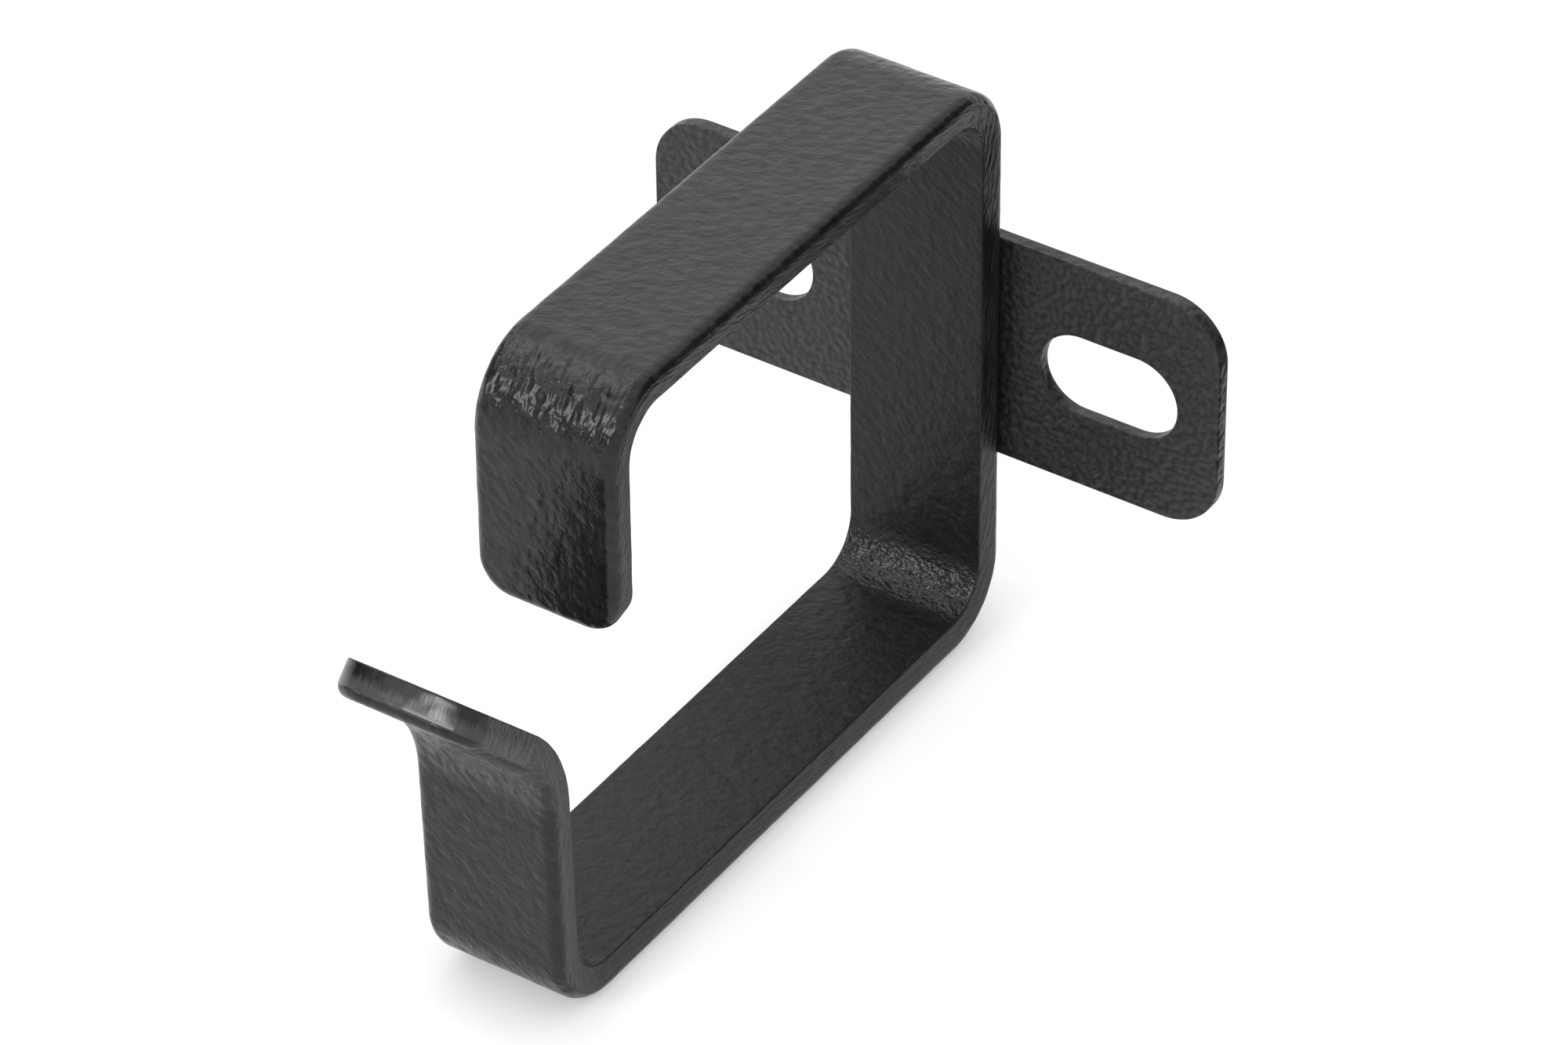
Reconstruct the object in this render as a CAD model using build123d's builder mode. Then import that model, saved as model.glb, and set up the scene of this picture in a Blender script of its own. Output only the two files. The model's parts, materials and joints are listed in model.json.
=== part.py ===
from build123d import *
from math import cos, radians, sin
import os

# Cable ring for a server rack: flat bar folded to an open ring, on a small plate with two slots.
# Millimetres and degrees. The origin is the middle of the plate's rear face.
# +X runs along the plate, +Y points back to the rack rail and +Z points up.

# Ring, one length of flat bar with its coat of paint
bar_width = 12.3
bar_thickness = 2.75
ring_height = 51.5
top_leg_depth = 51.9
bottom_leg_depth = 59.7
upper_lip_length = 20.5
lower_lip_length = 24.3
lower_lip_lean = 1.8
flare_angle = 45.0
flare_length = 14.2
fold_radius = 3.7
flare_fold_radius = 9.7
upper_lip_corner = 3.0
flare_corner = 2.8
outer_edge_round = 1.0
inner_edge_break = 0.3

# Mounting plate, one piece of sheet. Its slots take screws in the outer holes of a rack unit.
# The slots lie a little to the left of the plate's middle. The ring is welded on a little to the
# right of it and a little above it.
plate_height = 20.3
plate_thickness = 1.1
plate_corner = 4.7
plate_edge_break = 0.2
slot_length = 12.1
slot_width = 7.2
slot_spacing = 32.9
slot_end_wall = 3.1
slots_offset = -0.6
ring_offset = 0.4
ring_lift = 0.3

# Outer line of the bar, seen from the side as (y, z): the faces that end up outside the ring.
# The back leg's rear face lies on the plate's front face.
back = -plate_thickness
top = ring_lift + ring_height / 2
bottom = top - ring_height
upper_lip_front = back - top_leg_depth
upper_lip_tip = (upper_lip_front, top - upper_lip_length)
lower_lip_foot = (back - bottom_leg_depth, bottom)
lower_lip_top = (
    lower_lip_foot[0] - lower_lip_length * sin(radians(lower_lip_lean)),
    lower_lip_foot[1] + lower_lip_length * cos(radians(lower_lip_lean)),
)
flare_tip = (
    lower_lip_top[0] - flare_length * sin(radians(flare_angle)),
    lower_lip_top[1] + flare_length * cos(radians(flare_angle)),
)
outer_fold_radius = fold_radius + bar_thickness
plate_length = slot_spacing + slot_length + 2 * slot_end_wall

# Middle of each free end of the bar, half a thickness in from its outer line
upper_lip_end = (upper_lip_tip[0] + bar_thickness / 2, upper_lip_tip[1])
flare_end = (
    flare_tip[0] + bar_thickness / 2 * cos(radians(flare_angle)),
    flare_tip[1] + bar_thickness / 2 * sin(radians(flare_angle)),
)


def edges_on(part, line):
    """The part's edges that follow a line of its side view, at both ends of its width."""
    return part.edges().filter_by(
        lambda edge: all(
            line.distance_to(Vector(point.Y, point.Z)) < 0.001
            for point in (edge @ 0, edge @ 0.5, edge @ 1)
        )
    ).filter_by(Axis.X, reverse=True)


with BuildPart() as cable_ring:
    with BuildSketch(Plane.YZ.offset(ring_offset)):
        with BuildLine():
            outer_line = FilletPolyline(
                upper_lip_tip,
                (upper_lip_front, top),
                (back, top),
                (back, bottom),
                lower_lip_foot,
                lower_lip_top,
                flare_tip,
                radius=[outer_fold_radius] * 4 + [flare_fold_radius],
            )
            inner_line = offset(
                outer_line, bar_thickness, side=Side.RIGHT, closed=False, mode=Mode.PRIVATE
            )
            offset(amount=bar_thickness, side=Side.RIGHT, closed=True)
        make_face()
    extrude(amount=bar_width / 2, both=True)

    # Rounded corners at the two free ends of the bar
    for end, corner in ((upper_lip_end, upper_lip_corner), (flare_end, flare_corner)):
        end_face = faces().sort_by_distance((ring_offset, *end))[0]
        fillet(end_face.edges().filter_by(Axis.X, reverse=True), radius=corner)
    # The shears pull the bar's outer edges round and only break its inner ones
    fillet(edges_on(cable_ring.part, outer_line), radius=outer_edge_round)
    chamfer(edges_on(cable_ring.part, inner_line), length=inner_edge_break)
cable_ring.part.label = "cable_ring"

with BuildPart() as mounting_plate:
    with BuildSketch(Plane.XZ):
        RectangleRounded(plate_length, plate_height, plate_corner)
        with Locations((slots_offset, 0)):
            with GridLocations(slot_spacing, 0, 2, 1):
                SlotOverall(slot_length, slot_width, mode=Mode.SUBTRACT)
    extrude(amount=plate_thickness)
    # The punch breaks the front edges of the plate and of its slots, and leaves the rear ones sharp
    front_face = faces().sort_by(Axis.Y)[0]
    chamfer(front_face.edges(), length=plate_edge_break)
mounting_plate.part.label = "mounting_plate"

os.makedirs("parts", exist_ok=True)
export_step(cable_ring.part, "parts/cable_ring.step")
export_step(mounting_plate.part, "parts/mounting_plate.step")
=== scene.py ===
import bmesh
import bpy
import json
from math import atan2, ceil, cos, pi, radians, sin, tan
from mathutils import Matrix, Vector, noise
from types import SimpleNamespace


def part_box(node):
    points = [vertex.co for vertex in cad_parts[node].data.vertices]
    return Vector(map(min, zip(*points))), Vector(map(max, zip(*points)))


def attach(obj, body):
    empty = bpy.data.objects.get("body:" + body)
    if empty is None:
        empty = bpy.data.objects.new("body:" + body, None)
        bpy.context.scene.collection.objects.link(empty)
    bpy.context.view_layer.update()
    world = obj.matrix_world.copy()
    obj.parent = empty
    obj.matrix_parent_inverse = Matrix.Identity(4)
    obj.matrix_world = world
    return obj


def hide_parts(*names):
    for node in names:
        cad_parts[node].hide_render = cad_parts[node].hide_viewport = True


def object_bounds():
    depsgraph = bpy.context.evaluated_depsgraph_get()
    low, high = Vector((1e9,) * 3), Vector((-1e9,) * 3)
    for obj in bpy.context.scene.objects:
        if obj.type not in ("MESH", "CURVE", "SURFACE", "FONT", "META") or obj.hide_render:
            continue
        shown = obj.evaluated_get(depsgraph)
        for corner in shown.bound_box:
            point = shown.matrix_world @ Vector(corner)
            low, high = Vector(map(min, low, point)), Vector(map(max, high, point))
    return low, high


# Cable ring for a server rack: flat steel bar folded to an open ring, on a small plate with two slots.
# Lengths are metres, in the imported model's frame: the origin is the middle of the plate's rear face,
# +X runs along the plate, +Y points back to the rack rail and +Z points up.

MM = 0.001

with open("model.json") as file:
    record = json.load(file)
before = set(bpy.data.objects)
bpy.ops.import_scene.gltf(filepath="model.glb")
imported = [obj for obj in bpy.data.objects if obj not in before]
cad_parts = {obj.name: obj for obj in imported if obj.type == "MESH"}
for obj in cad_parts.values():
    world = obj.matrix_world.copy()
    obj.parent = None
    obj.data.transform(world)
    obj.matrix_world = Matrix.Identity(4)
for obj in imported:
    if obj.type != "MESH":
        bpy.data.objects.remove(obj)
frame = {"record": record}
cad_low, cad_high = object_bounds()
ring_low, ring_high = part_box("cable_ring")
plate_low, plate_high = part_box("mounting_plate")
slots = next(mount for mount in frame["record"]["mounts"] if mount["name"] == "rail_slots")

# Ring: what its box gives, and the sizes that a box can't give. The right side of the bar leans in by
# side_lean, from below its outer edge to its inner face.
bar_width = ring_high.x - ring_low.x
bar_middle = (ring_high.x + ring_low.x) / 2
bar_thickness = 2.75 * MM
top_leg_depth = 51.9 * MM
bottom_leg_depth = 59.7 * MM
upper_lip_length = 20.5 * MM
lower_lip_length = 24.3 * MM
lower_lip_lean = radians(1.8)
flare_angle = radians(45)
flare_length = 14.2 * MM
outer_fold_radius = 6.45 * MM
flare_fold_radius = 9.7 * MM
upper_lip_corner = 3.0 * MM
flare_corner = 2.8 * MM
outer_edge_round = 1.0 * MM
inner_edge_round = 0.15 * MM
side_lean = 0.3 * MM

# Plate: its box and its slots give all but its edges. Its mesh fans out round each slot, up to
# fan_margin past the slot's inner end.
plate_corner = 4.7 * MM
plate_edge_round = 0.2 * MM
fan_margin = 3.0 * MM
slot_spacing = slots["dims"]["spacing_x_mm"] * MM
slot_places = {side: slots["pos_m"][0] + side * slot_spacing / 2 for side in (-1, 1)}
slot_length = slots["dims"]["slot_length_mm"] * MM
slot_radius = slots["dims"]["hole_r_mm"] * MM

# The direction in which the steel's grain is drawn out, from the front left top to the back right foot
grain_direction = Vector((0.7, 0.45, -0.55))

# How wide and how high the soft bumps in the ring's paint are
bump_width = 1.6 * MM
bump_height = 0.02 * MM

# Fineness of the meshes: the distance between neighbouring points, the steps round an edge, and the
# rings of quads round a slot
bar_step = 0.3 * MM
plate_step = 0.33 * MM
edge_steps = 8
plate_edge_steps = 4
slot_rings = 12


def clean_mesh(name, points, quads):
    """A smooth-shaded object from points and quads, with its normals outward."""
    mesh = bpy.data.meshes.new(name)
    mesh.from_pydata(points, [], quads)
    shape = bmesh.new()
    shape.from_mesh(mesh)
    bmesh.ops.recalc_face_normals(shape, faces=shape.faces)
    shape.to_mesh(mesh)
    shape.free()
    mesh.shade_smooth()
    piece = bpy.data.objects.new(name, mesh)
    bpy.context.collection.objects.link(piece)
    return piece


def ring_side_view():
    """Corners (y, z) of the bar's outer line, from the upper lip's tip to the flare's, and their radii."""
    back = ring_high.y
    top = ring_high.z
    bottom = ring_low.z
    upper_lip_front = back - top_leg_depth
    foot = Vector((back - bottom_leg_depth, bottom))
    lip_top = foot + lower_lip_length * Vector((-sin(lower_lip_lean), cos(lower_lip_lean)))
    flare_tip = lip_top + flare_length * Vector((-sin(flare_angle), cos(flare_angle)))
    corners = [
        Vector((upper_lip_front, top - upper_lip_length)),
        Vector((upper_lip_front, top)),
        Vector((back, top)),
        Vector((back, bottom)),
        foot,
        lip_top,
        flare_tip,
    ]
    return corners, [outer_fold_radius] * 4 + [flare_fold_radius]


def runs_and_bends(corners, radii):
    """The line as a start, a heading, and moves (length, turn) for its straight runs and bends."""
    headings = [atan2(*reversed(end - start)) for start, end in zip(corners, corners[1:])]
    turns = [(b - a + pi) % (2 * pi) - pi for a, b in zip(headings, headings[1:])]
    trims = [0] + [radius * tan(abs(turn) / 2) for radius, turn in zip(radii, turns)] + [0]
    moves = []
    for i, (start, end) in enumerate(zip(corners, corners[1:])):
        moves.append(((end - start).length - trims[i] - trims[i + 1], 0.0))
        if i < len(turns):
            moves.append((radii[i] * abs(turns[i]), turns[i]))
    return corners[0], headings[0], moves


def place_on(line, distance):
    """Point (y, z) at a distance along the line, and the direction (y, z) to the right of its heading."""
    point, heading, moves = line
    for number, (length, turn) in enumerate(moves):
        part = distance if number == len(moves) - 1 else min(distance, length)
        angle = turn * part / length
        chord = part if turn == 0 else 2 * length / turn * sin(angle / 2)
        middle = heading + angle / 2
        point = point + chord * Vector((cos(middle), sin(middle)))
        heading += angle
        distance -= part
        if distance <= 0:
            break
    return point, Vector((sin(heading), -cos(heading)))


def strip_outline(length, width, start_corner, end_corner, step):
    """The unfolded bar's stations along its length: (distance, half width, outward (along, across))."""
    quarter = ceil(start_corner * pi / 2 / step)
    angles = [i / quarter * pi / 2 for i in range(quarter + 1)]

    def rounded_end(end, way, corner):
        """Stations round the corners of one end, from its tip inward."""
        return [
            (
                end - way * corner * (1 - cos(angle)),
                width / 2 - corner * (1 - sin(angle)),
                Vector((way * cos(angle), sin(angle))),
            )
            for angle in angles
        ]

    straight = length - start_corner - end_corner
    count = ceil(straight / step)
    middle = [
        (start_corner + straight * i / count, width / 2, Vector((0, 1))) for i in range(1, count)
    ]
    return rounded_end(0, -1, start_corner) + middle + rounded_end(length, 1, end_corner)[::-1]


def bar_outline(stations, across):
    """Distance, sideways and outward direction of the points round the unfolded bar."""
    first, last = stations[0], stations[-1]
    steps = [2 * j / across - 1 for j in range(across + 1)]
    tip = [(first[0], first[1] * step, Vector((-1, 0))) for step in steps]
    end = [(last[0], last[1] * step, Vector((1, 0))) for step in reversed(steps)]
    left = [
        (distance, -half, Vector((outward.x, -outward.y)))
        for distance, half, outward in stations[-2:0:-1]
    ]
    return tip + stations[1:-1] + end + left


def edge_profile(thickness, first_round, second_round, steps):
    """Inset and depth down a side, from the outer face round both edges to the inner face."""
    profile = []
    for i in range(steps + 1):
        angle = i / steps * pi / 2
        profile.append((first_round * (1 - sin(angle)), first_round * (1 - cos(angle))))
    wall = thickness - first_round - second_round
    profile += [(0, first_round + wall * i / steps) for i in range(1, steps)]
    for i in range(steps + 1):
        angle = i / steps * pi / 2
        depth = thickness - second_round * (1 - sin(angle))
        profile.append((second_round * (1 - cos(angle)), depth))
    return profile


def note(piece, name, kind, field, values):
    """Keeps a value for each point on the mesh, for its material to read."""
    piece.data.attributes.new(name, kind, "POINT").data.foreach_set(field, values)


def bend_share(line, distance):
    """1 in the middle of a bend and 0 on the straight runs, at a distance along the line."""
    for length, turn in line[2]:
        if distance <= length:
            return sin(pi * max(distance, 0) / length) if turn else 0.0
        distance -= length
    return 0.0


def grain_lift(point, size, height):
    """Height of the paint's soft bumps at a point. They all lie inside the true surface."""
    spot = point / size
    return height * (noise.noise(spot) + 0.5 * noise.noise(spot * 2.1) - 1.1)


def leant_in(sideways, depth):
    """Where a point lies across the bar, once the bar's right side leans in."""
    leant = side_lean * max(depth - outer_edge_round, 0) / (bar_thickness - outer_edge_round)
    return sideways * (1 - leant / (bar_width / 2)) if sideways > 0 else sideways


def make_ring():
    """The folded bar, as a fine grid on each face and a band of quads round its edge."""
    wall_inset = 0.02 * MM
    line = runs_and_bends(*ring_side_view())
    length = sum(move[0] for move in line[2])
    stations = strip_outline(length, bar_width, upper_lip_corner, flare_corner, bar_step)
    across = ceil(bar_width / bar_step)
    profile = edge_profile(bar_thickness, outer_edge_round, inner_edge_round, edge_steps)
    points = []
    quads = []
    unfolded = []
    sheared = []

    def add(along, sideways, depth, wall=0.0):
        spot, inward = place_on(line, along)
        spot = spot + depth * inward
        points.append(Vector((bar_middle + leant_in(sideways, depth), spot.x, spot.y)))
        unfolded.append((length - along, sideways, depth))
        sheared.append(wall)
        return len(points) - 1

    def add_face(inset, depth):
        """One face of the bar. Returns the loop of its outline, in bar_outline's order."""
        rows = []
        for distance, half, outward in stations:
            reach = half - inset * outward.y
            along = distance - inset * outward.x
            rows.append([add(along, reach * (2 * j / across - 1), depth) for j in range(across + 1)])
        for near, far in zip(rows, rows[1:]):
            quads.extend(zip(near, near[1:], far[1:], far))
        right = [row[-1] for row in rows[1:-1]]
        left = [row[0] for row in rows[-2:0:-1]]
        return rows[0] + right + rows[-1][::-1] + left

    outline = bar_outline(stations, across)
    loops = [add_face(outer_edge_round, 0)]
    for inset, depth in profile[1:-1]:
        wall = 1.0 if inset < wall_inset else 0.0
        loops.append(
            [
                add(distance - inset * outward.x, sideways - inset * outward.y, depth, wall)
                for distance, sideways, outward in outline
            ]
        )
    loops.append(add_face(inner_edge_round, bar_thickness))
    for near, far in zip(loops, loops[1:]):
        quads.extend(zip(near, near[1:] + near[:1], far[1:] + far[:1], far))
    bends = [bend_share(line, length - from_tip) for from_tip, _, _ in unfolded]
    piece = clean_mesh("folded_bar", points, quads)
    note(piece, "unfolded", "FLOAT_VECTOR", "vector", [part for place in unfolded for part in place])
    note(piece, "sheared", "FLOAT", "value", sheared)
    note(piece, "bent", "FLOAT", "value", bends)
    return piece


def obround_point(angle, half_straight, radius):
    """Where a ray from an obround's middle leaves it, and the outward direction there, as (x, z)."""
    ray = Vector((cos(angle), sin(angle)))
    if abs(ray.x) * radius <= half_straight * abs(ray.y):
        return ray * radius / abs(ray.y), Vector((0, 1 if ray.y > 0 else -1))
    centre = Vector((half_straight if ray.x > 0 else -half_straight, 0))
    reach = ray.dot(centre) + (ray.dot(centre) ** 2 - centre.length_squared + radius**2) ** 0.5
    return ray * reach, (ray * reach - centre) / radius


def plate_outline(half_length, half_height, corner, joint, step):
    """Points (x, z) and outward directions round the plate's right end, from below to above."""
    run = half_length - corner - joint
    count = ceil(run / step)
    bottom = [(Vector((joint + run * i / count, -half_height)), Vector((0, -1))) for i in range(count)]
    quarter = ceil(corner * pi / 2 / step)
    arc = []
    for i in range(quarter + 1):
        angle = -pi / 2 + i / quarter * pi / 2
        outward = Vector((cos(angle), sin(angle)))
        arc.append((Vector((half_length - corner, corner - half_height)) + corner * outward, outward))
    rise = half_height - corner
    count = ceil(rise / step)
    side = [(Vector((half_length, -rise * (1 - i / count))), Vector((1, 0))) for i in range(1, count)]
    lower = bottom + arc + side
    mirror = [(Vector((at.x, -at.y)), Vector((out.x, -out.y))) for at, out in reversed(lower)]
    return lower + [(Vector((half_length, 0)), Vector((1, 0)))] + mirror


def whole_outline(right_end, joint, half_height, columns):
    """Points (x, z) and outward directions right round the plate, from those of its right end."""
    between = [joint * (1 - 2 * i / columns) for i in range(1, columns)]
    top = [(Vector((x, half_height)), Vector((0, 1))) for x in between]
    left_end = [(Vector((-at.x, at.y)), Vector((-out.x, out.y))) for at, out in reversed(right_end)]
    bottom = [(Vector((-x, -half_height)), Vector((0, -1))) for x in between]
    return right_end + top + left_end + bottom


def make_plate():
    """The plate: a fanned grid round each slot, a plain grid between them, and bands round every edge."""
    half_length = (plate_high.x - plate_low.x) / 2
    half_height = (plate_high.z - plate_low.z) / 2
    thickness = plate_high.y - plate_low.y
    half_straight = slot_length / 2 - slot_radius
    joint = min(abs(place) for place in slot_places.values()) - slot_length / 2 - fan_margin
    points = []
    quads = []

    def add(at, y):
        points.append(Vector((at.x, y, at.y)))
        return len(points) - 1

    outline = plate_outline(half_length, half_height, plate_corner, joint, plate_step)
    rows = ceil(2 * half_height / plate_step)
    seam = [half_height - 2 * half_height * i / rows for i in range(1, rows)]
    columns = ceil(2 * joint / plate_step)

    def side_loop(side, inset):
        """The outer loop of one end of the plate, inset where it is a real edge."""
        shrink = (half_height - inset) / half_height
        loop = [(at - inset * out, out) for at, out in outline] + [
            (Vector((joint, z * shrink)), None) for z in seam
        ]
        return [(Vector((side * at.x, at.y)), out) for at, out in loop]

    def slot_loop(side, inset):
        """The slot's loop, one point for each of the outer loop's, widened by the inset."""
        middle = Vector((slot_places[side], 0))
        loop = []
        for at, _ in side_loop(side, 0):
            offset = at - middle
            spot, out = obround_point(atan2(offset.y, offset.x), half_straight, slot_radius)
            loop.append(middle + spot + inset * out)
        return loop

    def link(near, far, closed):
        ends = (near[1:] + near[:1], far[1:] + far[:1]) if closed else (near[1:], far[1:])
        quads.extend(zip(near, ends[0], ends[1], far))

    def add_face(inset, y):
        """One face of the plate. Returns the loops of its outline and of its two slots."""
        edges = {}
        for side in (-1, 1):
            outer = [at for at, _ in side_loop(side, inset)]
            inner = slot_loop(side, inset)
            loops = []
            for ring in range(slot_rings + 1):
                share = ring / slot_rings
                loops.append([add(a.lerp(b, share), y) for a, b in zip(inner, outer)])
            for near, far in zip(loops, loops[1:]):
                link(near, far, True)
            edges[side] = (loops[0], loops[-1])
        count = len(outline)
        left = edges[-1][1][count - 1 :] + edges[-1][1][:1]
        right = edges[1][1][count - 1 :] + edges[1][1][:1]
        grid = [left]
        for column in range(1, columns):
            share = column / columns
            grid.append([add(points[a].xz.lerp(points[b].xz, share), y) for a, b in zip(left, right)])
        grid.append(right)
        for near, far in zip(grid, grid[1:]):
            link(near, far, False)
        top = [column[0] for column in grid]
        bottom = [column[-1] for column in grid]
        around = edges[1][1][:count] + top[-2:0:-1] + edges[-1][1][:count][::-1] + bottom[1:-1]
        return around, edges[-1][0], edges[1][0]

    bands = [add_face(plate_edge_round, plate_low.y)]
    outer = whole_outline(outline, joint, half_height, columns)
    profile = edge_profile(thickness, plate_edge_round, 0, plate_edge_steps)
    for inset, depth in profile[1 : 2 * plate_edge_steps]:
        y = plate_low.y + depth
        bands.append(
            (
                [add(at - inset * out, y) for at, out in outer],
                [add(at, y) for at in slot_loop(-1, inset)],
                [add(at, y) for at in slot_loop(1, inset)],
            )
        )
    bands.append(add_face(0, plate_high.y))
    for near, far in zip(bands, bands[1:]):
        for a, b in zip(near, far):
            link(a, b, True)
    return clean_mesh("slotted_plate", points, quads)


def roughen(piece, size, height):
    """Moves the piece's points along their normals, by the soft bumps in the paint."""
    mesh = piece.data
    lifts = [vertex.normal * grain_lift(vertex.co, size, height) for vertex in mesh.vertices]
    for vertex, lift in zip(mesh.vertices, lifts):
        vertex.co += lift
    mesh.update()


def node(tree, kind, **inputs):
    """A shader node with its inputs set: sockets are linked and other values are written."""
    made = tree.nodes.new(kind)
    for name, value in inputs.items():
        socket = made.inputs[name.replace("_", " ")]
        if isinstance(value, bpy.types.NodeSocket):
            tree.links.new(value, socket)
        else:
            socket.default_value = value
    return made


def maths(tree, operation, first, second):
    """A maths node's result. Sockets are linked and numbers are written."""
    made = tree.nodes.new("ShaderNodeMath")
    made.operation = operation
    for socket, value in zip(made.inputs, (first, second)):
        if isinstance(value, bpy.types.NodeSocket):
            tree.links.new(value, socket)
        else:
            socket.default_value = value
    return made.outputs[0]


def vector_maths(tree, operation, *vectors):
    """A vector maths node's result, from linked sockets."""
    made = tree.nodes.new("ShaderNodeVectorMath")
    made.operation = operation
    for socket, vector in zip(made.inputs, vectors):
        tree.links.new(vector, socket)
    return made.outputs["Vector"]


def blend(tree, share, first, second):
    """One number or another, by a share from 0 to 1."""
    made = node(tree, "ShaderNodeMix", Factor=share)
    tree.links.new(first, made.inputs["A"])
    tree.links.new(second, made.inputs["B"])
    return made.outputs["Result"]


def blend_colours(tree, share, first, second):
    """One colour or another, by a share from 0 to 1."""
    made = tree.nodes.new("ShaderNodeMixRGB")
    for socket, value in zip(made.inputs, (share, first, second)):
        tree.links.new(value, socket)
    return made.outputs["Color"]


def own_place(tree):
    """The object's own coordinates."""
    return tree.nodes.new("ShaderNodeTexCoord").outputs["Object"]


def drawn_grain(tree, size, stretch):
    """Noise in the rolled steel under the paint, drawn out along one direction."""
    turned = node(tree, "ShaderNodeMapping", Vector=own_place(tree))
    turned.vector_type = "TEXTURE"
    turned.inputs["Rotation"].default_value = grain_direction.to_track_quat("X", "Z").to_euler()
    turned.inputs["Scale"].default_value = (stretch * size, size, size)
    return node(
        tree, "ShaderNodeTexNoise", Vector=turned.outputs[0], Scale=1.0, Detail=2.0, Roughness=0.5
    ).outputs["Fac"]


def ramp(tree, value, *stops):
    """A colour ramp of greys: (position, grey) stops."""
    made = node(tree, "ShaderNodeValToRGB", Fac=value)
    marks = made.color_ramp.elements
    while len(marks) < len(stops):
        marks.new(1.0)
    for mark, (position, grey) in zip(marks, stops):
        mark.position = position
        mark.color = (grey, grey, 1.02 * grey, 1)
    return made.outputs["Color"]


def coat_base(name):
    """A new coat of paint: its material, its tree and its shader."""
    material = bpy.data.materials.new(name)
    material.use_nodes = True
    tree = material.node_tree
    shader = tree.nodes["Principled BSDF"]
    shader.inputs["IOR"].default_value = 1.4
    return material, tree, shader


def stretched_noise(tree, place, scale, detail=2.0, distortion=0.0):
    """Noise over a place whose X, Y and Z are divided by the sizes in scale."""
    fitted = node(tree, "ShaderNodeMapping", Vector=place)
    fitted.vector_type = "TEXTURE"
    fitted.inputs["Scale"].default_value = scale
    made = node(tree, "ShaderNodeTexNoise", Vector=fitted.outputs[0], Scale=1.0, Detail=detail)
    made.inputs["Roughness"].default_value = 0.45
    made.inputs["Distortion"].default_value = distortion
    return made.outputs["Fac"]


def attribute(tree, name, output):
    """What the mesh keeps under a name."""
    made = tree.nodes.new("ShaderNodeAttribute")
    made.attribute_name = name
    return made.outputs[output]


def step_up(tree, value, low, high, least=0.0, most=1.0):
    """A number that goes from least to most as the value goes from low to high."""
    made = node(
        tree, "ShaderNodeMapRange", Value=value, From_Min=low, From_Max=high, To_Min=least, To_Max=most
    )
    return made.outputs["Result"]


def bar_places(tree):
    """What the ring's mesh keeps for its material, and what follows from it."""
    unfolded = attribute(tree, "unfolded", "Vector")
    from_tip, sideways, depth = node(tree, "ShaderNodeSeparateXYZ", Vector=unfolded).outputs
    return SimpleNamespace(
        unfolded=unfolded,
        from_tip=from_tip,
        sideways=sideways,
        depth=depth,
        bent=attribute(tree, "bent", "Fac"),
        sheared=attribute(tree, "sheared", "Fac"),
        inner=step_up(tree, depth, 0.8 * bar_thickness, bar_thickness),
        flare_end=step_up(tree, from_tip, 11 * MM, 8 * MM),
    )


def face_bumps(tree, bar, drawn):
    """Height of the bar's faces: grain, with ridges round the folds outside and pebbles inside."""
    ridges = stretched_noise(tree, bar.unfolded, (1.7 * MM, 0.8 * MM, 2 * MM), 1.0)
    ridge_height = step_up(tree, bar.bent, 0.0, 1.0, 0.4, 2.6)
    outside = maths(tree, "ADD", drawn, maths(tree, "MULTIPLY", ridges, ridge_height))
    pebbles = stretched_noise(tree, bar.unfolded, (0.5 * MM, 0.5 * MM, 0.5 * MM), 1.0)
    pebble_height = step_up(tree, bar.bent, 0.0, 1.0, 0.45, 1.4)
    inside = maths(tree, "ADD", drawn, maths(tree, "MULTIPLY", pebbles, pebble_height))
    return blend(tree, bar.inner, outside, inside)


def side_streaks(tree, bar):
    """Streaks on the sheared sides: slanting along the bar, and across it on the flare's end."""
    slope = 0.22
    slid = maths(tree, "ADD", bar.depth, maths(tree, "MULTIPLY", bar.from_tip, slope))
    slant = node(tree, "ShaderNodeCombineXYZ", X=bar.from_tip, Y=slid, Z=bar.sideways)
    lengthwise = stretched_noise(tree, slant.outputs[0], (1.3 * MM, 0.3 * MM, 0.5 * MM), 2.5)
    crosswise = stretched_noise(tree, bar.unfolded, (0.4 * MM, 0.4 * MM, 2.0 * MM), 1.0, 1.0)
    return blend(tree, bar.flare_end, lengthwise, crosswise)


def side_bumps(tree, bar, streaks):
    """Height of the sheared sides: nearly smooth at the flare's tip, rough behind it, then calmer."""
    rough = step_up(tree, bar.from_tip, 2.0 * MM, 4 * MM, 0.05, 1.9)
    calm = step_up(tree, bar.from_tip, 10 * MM, 15 * MM, 1.0, 0.65)
    return maths(tree, "MULTIPLY", streaks, maths(tree, "MULTIPLY", rough, calm))


def crowned_normal(tree, bar):
    """The mesh's normal, crowned across the bar's two ends, whose right corner turns late on the flare."""
    crown_per_metre = 30
    corner_delay = 1.4 * MM
    straight = bar_width / 2 - flare_corner
    turned = step_up(tree, bar.sideways, straight, bar_width / 2)
    turned_late = step_up(tree, bar.sideways, straight + corner_delay, bar_width / 2)
    at_tip = step_up(tree, bar.from_tip, 3 * MM, 2.7 * MM)
    delay = maths(tree, "MULTIPLY", maths(tree, "SUBTRACT", turned_late, turned), at_tip)
    tilt = maths(tree, "ADD", maths(tree, "MULTIPLY", bar.sideways, crown_per_metre), delay)
    crown = node(tree, "ShaderNodeCombineXYZ", X=maths(tree, "MULTIPLY", tilt, bar.sheared))
    plain = tree.nodes.new("ShaderNodeNewGeometry").outputs["Normal"]
    return vector_maths(tree, "NORMALIZE", vector_maths(tree, "ADD", plain, crown.outputs[0]))


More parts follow.
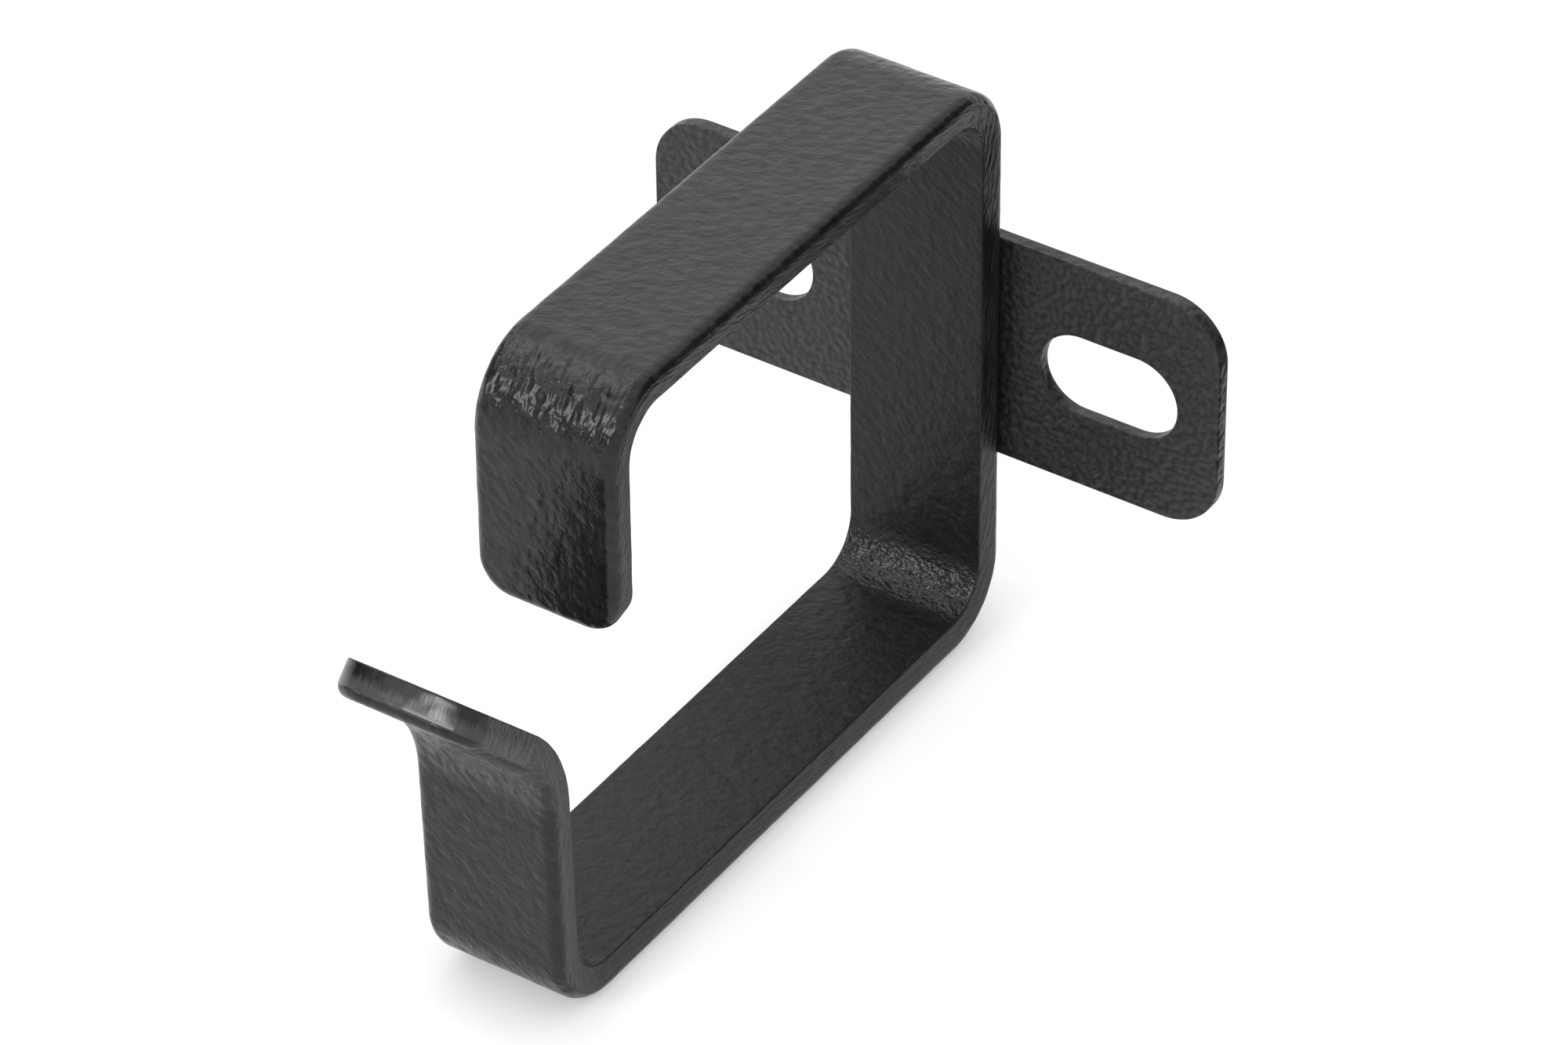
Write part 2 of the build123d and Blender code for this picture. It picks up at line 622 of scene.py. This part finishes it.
def ring_colour(tree, bar, drawn, streaks):
    """Colour of the ring's coat: darkest on the inner face, by painted shade, and lightest on the flare's
    sheared sides, by painted light.
    """
    # The grain's tone, lighter where its bumps stand high: partly the coat's own tone, partly painted light
    # on the bumps' crests.
    outer_grain_and_painted_sheen = ramp(tree, drawn, (0.3, 0.004), (0.7, 0.016))
    # Painted shade: the inner face is coloured darker than the outer, for the shade that falls inside the
    # ring.
    inner_grain_and_painted_shade = ramp(tree, drawn, (0.3, 0.003), (0.7, 0.009))
    faces = blend_colours(tree, bar.inner, outer_grain_and_painted_sheen, inner_grain_and_painted_shade)
    streak_reach = 0.5
    share = maths(tree, "MULTIPLY", bar.depth, 1 / bar_thickness)
    reach = maths(tree, "ADD", share, maths(tree, "MULTIPLY", streaks, streak_reach))
    leg_sides = ramp(tree, reach, (0.7, 0.016), (0.95, 0.006))
    # Painted reflection: the flare's sheared sides and end are coloured lighter than the legs' sides, for
    # the brighter light they reflect.
    flare_sides_painted_light = ramp(tree, reach, (0.7, 0.05), (0.95, 0.008))
    sides = blend_colours(tree, bar.flare_end, leg_sides, flare_sides_painted_light)
    return blend_colours(tree, bar.sheared, faces, sides)


def ring_roughness(tree, bar):
    """Roughness of the ring's coat: dullest on the flat inner faces, glossiest at the flare's tip."""
    faces = step_up(tree, maths(tree, "SUBTRACT", bar.inner, bar.bent), 0.0, 1.0, 0.28, 0.46)
    sides = step_up(tree, bar.from_tip, 2 * MM, 4 * MM, 0.2, 0.38)
    return blend(tree, bar.sheared, faces, sides)


def ring_material():
    """Black powder coat over rolled steel: grainy faces, ridged folds and streaky sheared sides, with
    painted light and shade in its colour.
    """
    material, tree, shader = coat_base("ring_paint")
    bar = bar_places(tree)
    drawn = drawn_grain(tree, 0.75 * MM, 2.0)
    streaks = side_streaks(tree, bar)
    bumps = blend(tree, bar.sheared, face_bumps(tree, bar, drawn), side_bumps(tree, bar, streaks))
    normal = crowned_normal(tree, bar)
    bump = node(
        tree, "ShaderNodeBump", Strength=1.0, Distance=0.12 * MM, Height=bumps, Normal=normal
    )
    tree.links.new(bump.outputs["Normal"], shader.inputs["Normal"])
    tree.links.new(ring_colour(tree, bar, drawn, streaks), shader.inputs["Base Color"])
    tree.links.new(ring_roughness(tree, bar), shader.inputs["Roughness"])
    return material


def plate_material():
    """Black powder coat over sheet steel, with round dimples, whose crests are coloured lighter as painted
    light.
    """
    material, tree, shader = coat_base("plate_paint")
    dimples = node(
        tree, "ShaderNodeTexNoise", Vector=own_place(tree), Scale=1 / (0.55 * MM), Detail=0.3
    ).outputs["Fac"]
    drawn = drawn_grain(tree, 1.5 * MM, 2.0)
    deep = maths(tree, "MULTIPLY", dimples, 1.4)
    shallow = maths(tree, "MULTIPLY", drawn, 0.5)
    bumps = maths(tree, "ADD", deep, shallow)
    bump = node(tree, "ShaderNodeBump", Strength=1.0, Distance=0.13 * MM, Height=bumps)
    tree.links.new(bump.outputs["Normal"], shader.inputs["Normal"])
    # The dimples' tone, lighter where they stand high: partly the coat's own tone, partly painted light on
    # their crests.
    tree.links.new(ramp(tree, dimples, (0.3, 0.014), (0.7, 0.032)), shader.inputs["Base Color"])
    tree.links.new(step_up(tree, drawn, 0.0, 1.0, 0.34, 0.44), shader.inputs["Roughness"])
    return material


def seen_directly(tree):
    """1 for what the camera sees itself, in a gloss or through glass, and 0 for the light on the object."""
    path = tree.nodes.new("ShaderNodeLightPath")
    total = path.outputs["Is Camera Ray"]
    for ray in ("Is Glossy Ray", "Is Transmission Ray"):
        total = maths(tree, "MAXIMUM", total, path.outputs[ray])
    return total


def floor_material():
    """White to the eye, dimmer right beside the object by a painted shadow, and grey in the light that it
    throws back.
    """
    material = bpy.data.materials.new("floor_white")
    material.use_nodes = True
    tree = material.node_tree
    tree.nodes.remove(tree.nodes["Principled BSDF"])
    paint = node(tree, "ShaderNodeBsdfDiffuse", Color=(0.3, 0.3, 0.3, 1))
    # Painted shadow: the glow that makes the floor white dims with ambient occlusion right beside the
    # object.
    nook = node(tree, "ShaderNodeAmbientOcclusion", Distance=6 * MM)
    glow_with_painted_shadow = step_up(tree, nook.outputs["AO"], 0.0, 1.0, 0.32, 0.7)
    strength = maths(tree, "MULTIPLY", seen_directly(tree), glow_with_painted_shadow)
    light = node(tree, "ShaderNodeEmission", Color=(1, 1, 1, 1), Strength=strength)
    both = tree.nodes.new("ShaderNodeAddShader")
    tree.links.new(paint.outputs[0], both.inputs[0])
    tree.links.new(light.outputs[0], both.inputs[1])
    tree.links.new(both.outputs[0], tree.nodes["Material Output"].inputs["Surface"])
    return material


def make_quad(name, corners, material):
    """A flat object with four corners."""
    mesh = bpy.data.meshes.new(name)
    mesh.from_pydata(corners, [], [(0, 1, 2, 3)])
    mesh.materials.append(material)
    quad = bpy.data.objects.new(name, mesh)
    bpy.context.collection.objects.link(quad)
    return quad


def make_floor():
    """Wide white floor under the ring, which still takes the object's shadow, with a painted shadow right
    beside it.
    """
    reach = 3.0
    height = cad_low.z
    signs = [(-1, -1), (1, -1), (1, 1), (-1, 1)]
    corners = [(x * reach, y * reach, height) for x, y in signs]
    floor = make_quad("floor", corners, floor_material())


def towards(azimuth, elevation):
    """Unit vector at an azimuth from +X towards +Y and an elevation, both in degrees."""
    turn, lift = radians(azimuth), radians(elevation)
    return Vector((cos(turn) * cos(lift), sin(turn) * cos(lift), sin(lift)))


def make_lamp(name, azimuth, elevation, distance, size, brightness):
    """A square soft lamp that faces the object. Its brightness is that of its face, where 1 is white."""
    data = bpy.data.lights.new(name, "AREA")
    data.shape = "SQUARE"
    data.size = size
    data.energy = brightness * pi * size**2
    lamp = bpy.data.objects.new(name, data)
    bpy.context.collection.objects.link(lamp)
    away = towards(azimuth, elevation)
    lamp.location = away * distance
    lamp.rotation_euler = away.to_track_quat("Z", "Y").to_euler()


def card_material(name):
    """Dull black card."""
    material = bpy.data.materials.new(name)
    material.use_nodes = True
    shader = material.node_tree.nodes["Principled BSDF"]
    shader.inputs["Base Color"].default_value = (0.02, 0.02, 0.02, 1)
    shader.inputs["Roughness"].default_value = 0.9
    return material


def make_card(name, middle, away, width, height):
    """A black studio card that only the gloss shows, to darken one side of it."""
    turn = away.to_track_quat("Z", "Y").to_matrix()
    signs = [(-1, -1), (1, -1), (1, 1), (-1, 1)]
    corners = [middle + turn @ Vector((x * width / 2, y * height / 2, 0)) for x, y in signs]
    card = make_quad(name, corners, card_material(name))
    card.visible_camera = False
    card.visible_diffuse = False
    card.visible_shadow = False


def make_world():
    """Even white light from all round."""
    world = bpy.data.worlds.new("studio")
    world.use_nodes = True
    sky = world.node_tree.nodes["Background"]
    sky.inputs["Color"].default_value = (1, 1, 1, 1)
    sky.inputs["Strength"].default_value = 1.0
    bpy.context.scene.world = world


def make_camera():
    """The photograph's view: down on the ring from its front right."""
    data = bpy.data.cameras.new("camera")
    data.sensor_width = 36
    data.lens = 170.355
    data.clip_start = 0.01
    data.clip_end = 20
    camera = bpy.data.objects.new("camera", data)
    bpy.context.collection.objects.link(camera)
    place = Vector((247.642, -390.366, 333.400)) * MM
    right = Vector((0.833240, 0.552863, -0.007329))
    up = Vector((-0.330996, 0.509387, 0.794334))
    turn = Matrix((right, up, right.cross(up))).transposed().to_4x4()
    camera.matrix_world = Matrix.Translation(place) @ turn
    bpy.context.scene.camera = camera


ring = make_ring()
roughen(ring, bump_width, bump_height)
ring.data.materials.append(ring_material())
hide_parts("cable_ring")
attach(ring, "root")

plate = make_plate()
plate.data.materials.append(plate_material())
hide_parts("mounting_plate")
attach(plate, "root")

make_floor()
make_world()
# Each lamp's azimuth and elevation in degrees, distance and width in metres, and brightness
make_lamp("key", -108, 26, 1.0, 0.3, 12.0)
make_lamp("top", 150, 58, 1.0, 1.6, 0.5)
make_lamp("front_top", -175, 58, 1.0, 0.5, 1.8)
make_lamp("spark", -109.5, 40.5, 1.05, 0.12, 26.0)
make_lamp("fill", -127, 38, 1.1, 0.2, 2.2)
# Each card's middle, the direction that it faces away from the object, its width and its height
make_card("dark_behind_key", towards(-112, 24.5) * 1.3, towards(-112, 24.5), 1.6, 1.02)
make_card("dark_left", towards(-178, 22) * 1.2, towards(-178, 22), 1.1, 0.7)
make_card("dark_low_right", Vector((38, 10, 18)) * MM, Vector((1, 0, 0)), 0.1, 0.064)
make_camera()

bpy.context.scene.view_settings.view_transform = "Standard"
